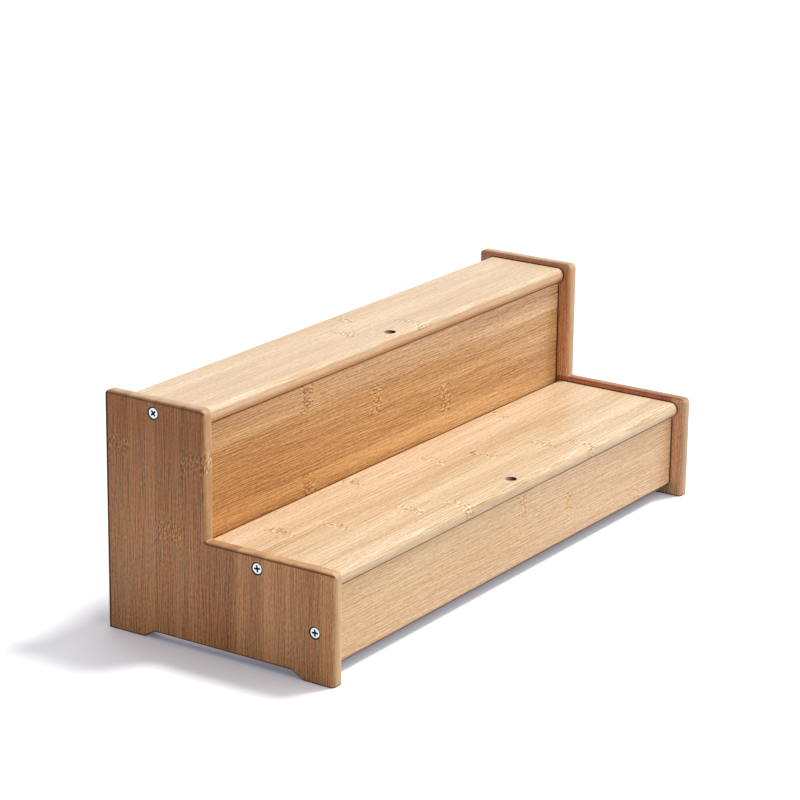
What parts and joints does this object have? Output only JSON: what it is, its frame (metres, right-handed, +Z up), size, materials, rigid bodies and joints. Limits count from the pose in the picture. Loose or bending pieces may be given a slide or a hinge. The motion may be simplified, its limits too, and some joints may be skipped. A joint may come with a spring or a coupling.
{
  "type": "tiered display rack",
  "caption": "Stair-shaped bamboo rack with stepped side panels, round-nosed treads and risers, screwed and dowelled, that shows tea ware on raised steps.",
  "frame": {"origin": "on the floor, under the middle of the rack's outer box", "axes": "+X along the treads to the right as seen from the front, +Y from the front to the back, +Z up"},
  "size_m": [0.4, 0.158, 0.142],
  "materials": {
    "bamboo_panel": "laminated bamboo, grain upright, sanded edges, satin clear lacquer",
    "bamboo_board": "laminated bamboo, grain along the length, satin clear lacquer",
    "dowel": "bare turned wood",
    "zinc_screw": "bright zinc plating"
  },
  "bodies": {
    "root": {"left_side_panel": "bamboo_panel", "right_side_panel": "bamboo_panel", "lower_tread": "bamboo_board", "upper_tread": "bamboo_board", "lower_riser": "bamboo_board", "upper_riser": "bamboo_board", "screw_left_upper_tread": "zinc_screw", "screw_left_lower_tread": "zinc_screw", "screw_left_lower_riser": "zinc_screw", "screw_right_upper_tread": "zinc_screw", "screw_right_lower_tread": "zinc_screw", "screw_right_lower_riser": "zinc_screw", "screw_top_lower_tread": "zinc_screw", "screw_top_upper_tread": "zinc_screw", "screw_back_upper_riser": "zinc_screw", "dowel_left_upper_tread_1": "dowel", "dowel_left_lower_tread_1": "dowel", "dowel_left_lower_riser_1": "dowel", "dowel_left_upper_riser_1": "dowel", "dowel_left_upper_riser_2": "dowel", "dowel_right_upper_tread_1": "dowel", "dowel_right_lower_tread_1": "dowel", "dowel_right_lower_riser_1": "dowel", "dowel_right_upper_riser_1": "dowel", "dowel_right_upper_riser_2": "dowel"}
  },
  "joints": []
}
